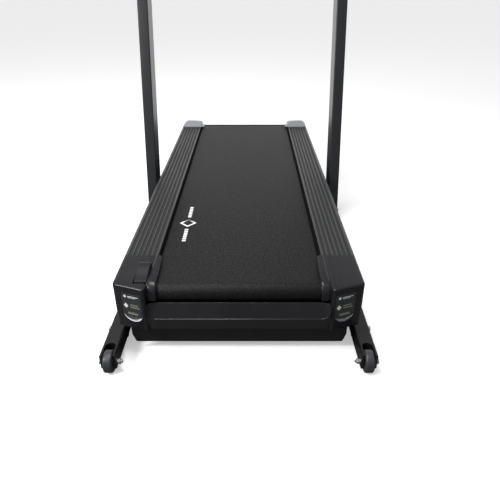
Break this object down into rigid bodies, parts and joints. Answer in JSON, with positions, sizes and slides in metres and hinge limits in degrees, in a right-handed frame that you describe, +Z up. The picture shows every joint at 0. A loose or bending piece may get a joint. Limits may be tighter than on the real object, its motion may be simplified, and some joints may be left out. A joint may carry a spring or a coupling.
{
  "type": "manual treadmill",
  "caption": "Manual treadmill with a flat belt deck between ribbed foot rails, on a floor frame with rear wheels, with leaning uprights, handrails and a small console.",
  "frame": {"origin": "on the floor, at the middle of the footprint box", "axes": "+X to the right of a walker on the belt, +Y the way the walker faces, +Z up"},
  "size_m": [0.809, 1.689, 1.2956],
  "materials": {
    "frame_steel": "satin black powder coat",
    "upright_steel": "satin anthracite powder coat",
    "cover_plastic": "fine-textured black moulding",
    "cap_plastic": "satin light grey moulding",
    "rail_profile": "ribbed dark grey with a fine grip texture",
    "belt_rubber": "diamond-textured black walking surface",
    "wheel_rubber": "smooth black tread",
    "foot_rubber": "plain black",
    "zinc_steel": "bright zinc plate",
    "roller_steel": "turned steel tube",
    "black_bolt": "black oxide",
    "deck_wood": "fibreboard with a black waxed phenolic face",
    "label_plate": "dark grey plate with a bright lower rim",
    "grip_foam": "closed-cell foam",
    "console_plastic": "satin black moulding",
    "display_window": "smoked window",
    "key_rubber": "soft grey keys"
  },
  "bodies": {
    "machine": {"base_beam_left": "frame_steel", "base_beam_right": "frame_steel", "base_cross_rear": "frame_steel", "base_cross_middle": "frame_steel", "base_cross_front": "frame_steel", "beam_plugs": "cover_plastic", "floor_pads": "foot_rubber", "beam_bolts": "zinc_steel", "deck_stands": "frame_steel", "deck_frame_left": "frame_steel", "deck_frame_right": "frame_steel", "deck_cross_rear": "frame_steel", "deck_cross_middle": "frame_steel", "deck_cross_front": "frame_steel", "deck_cushions": "foot_rubber", "deck_board": "deck_wood", "running_belt": "belt_rubber", "rear_axle": "zinc_steel", "belt_tension_bolts": "zinc_steel", "front_bracket_left": "frame_steel", "front_bracket_right": "frame_steel", "front_bearings": "zinc_steel", "magnet_pivot": "zinc_steel", "side_rail_left": "rail_profile", "side_rail_right": "rail_profile", "rear_cover": "cover_plastic", "inner_guard_left": "cover_plastic", "inner_guard_right": "cover_plastic", "rear_skirt": "cover_plastic", "skirt_screws": "black_bolt", "side_plate_left": "label_plate", "side_plate_right": "label_plate", "pedal_pin": "zinc_steel", "front_cap_left": "cap_plastic", "front_cap_right": "cap_plastic", "front_guard": "cover_plastic", "upright_left": "upright_steel", "upright_right": "upright_steel", "upright_bolts": "black_bolt", "console_bar": "upright_steel", "handrail_left": "upright_steel", "handrail_right": "upright_steel", "handrail_grips": "grip_foam", "console_back": "console_plastic", "console_front": "console_plastic", "display_lens": "display_window"},
    "wheel_left": {"wheel_left": "wheel_rubber"},
    "wheel_right": {"wheel_right": "wheel_rubber"},
    "rear_roller": {"rear_roller": "roller_steel", "rear_roller_bearings": "zinc_steel", "brake_drum": "roller_steel"},
    "front_roller": {"front_roller": "roller_steel", "flywheel_left": "roller_steel", "flywheel_right": "roller_steel"},
    "magnets": {"magnet_carriage": "zinc_steel"},
    "pedal": {"lock_pedal": "cover_plastic", "brake_shoe": "foot_rubber"},
    "knob": {"resistance_knob": "console_plastic"},
    "mode_key": {"mode_button": "key_rubber"},
    "reset_key": {"reset_button": "key_rubber"}
  },
  "joints": [
    {"name": "wheel_left_spin", "type": "hinge", "parent": "machine", "child": "wheel_left", "pos_m": [-0.3375, -0.8145, 0.031], "axis": [1, 0, 0], "continuous": true},
    {"name": "wheel_right_spin", "type": "hinge", "parent": "machine", "child": "wheel_right", "pos_m": [0.3375, -0.8145, 0.031], "axis": [1, 0, 0], "continuous": true},
    {"name": "front_roller_spin", "type": "hinge", "parent": "machine", "child": "front_roller", "pos_m": [0, 0.7895, 0.187], "axis": [1, 0, 0], "continuous": true},
    {"name": "rear_roller_spin", "type": "hinge", "parent": "machine", "child": "rear_roller", "pos_m": [0, -0.7175, 0.187], "axis": [1, 0, 0], "continuous": true},
    {"name": "pedal_press", "type": "hinge", "parent": "machine", "child": "pedal", "pos_m": [-0.2535, -0.7235, 0.208], "axis": [1, 0, 0], "range_deg": [-8, 0], "stiffness_Nm_per_rad": 3, "springref_deg": 6.88},
    {"name": "resistance_turn", "type": "hinge", "parent": "machine", "child": "knob", "pos_m": [0.13, 0.37208, 1.22535], "axis": [0, -0.766, 0.6428], "range_deg": [0, 270]},
    {"name": "magnet_swing", "type": "hinge", "parent": "machine", "child": "magnets", "pos_m": [0.253, 0.7265, 0.15], "axis": [1, 0, 0], "range_deg": [-6, 0]},
    {"name": "mode_press", "type": "slide", "parent": "machine", "child": "mode_key", "axis": [0, 0.766, -0.6428], "range_m": [0, 0.002], "stiffness_N_per_m": 300, "springref_m": -0.001},
    {"name": "reset_press", "type": "slide", "parent": "machine", "child": "reset_key", "axis": [0, 0.766, -0.6428], "range_m": [0, 0.002], "stiffness_N_per_m": 300, "springref_m": -0.001}
  ],
  "couplings": [
    {"joint": "rear_roller_spin", "follows": "front_roller_spin", "ratio": 1},
    {"joint": "magnet_swing", "follows": "resistance_turn", "ratio": -0.022222}
  ]
}
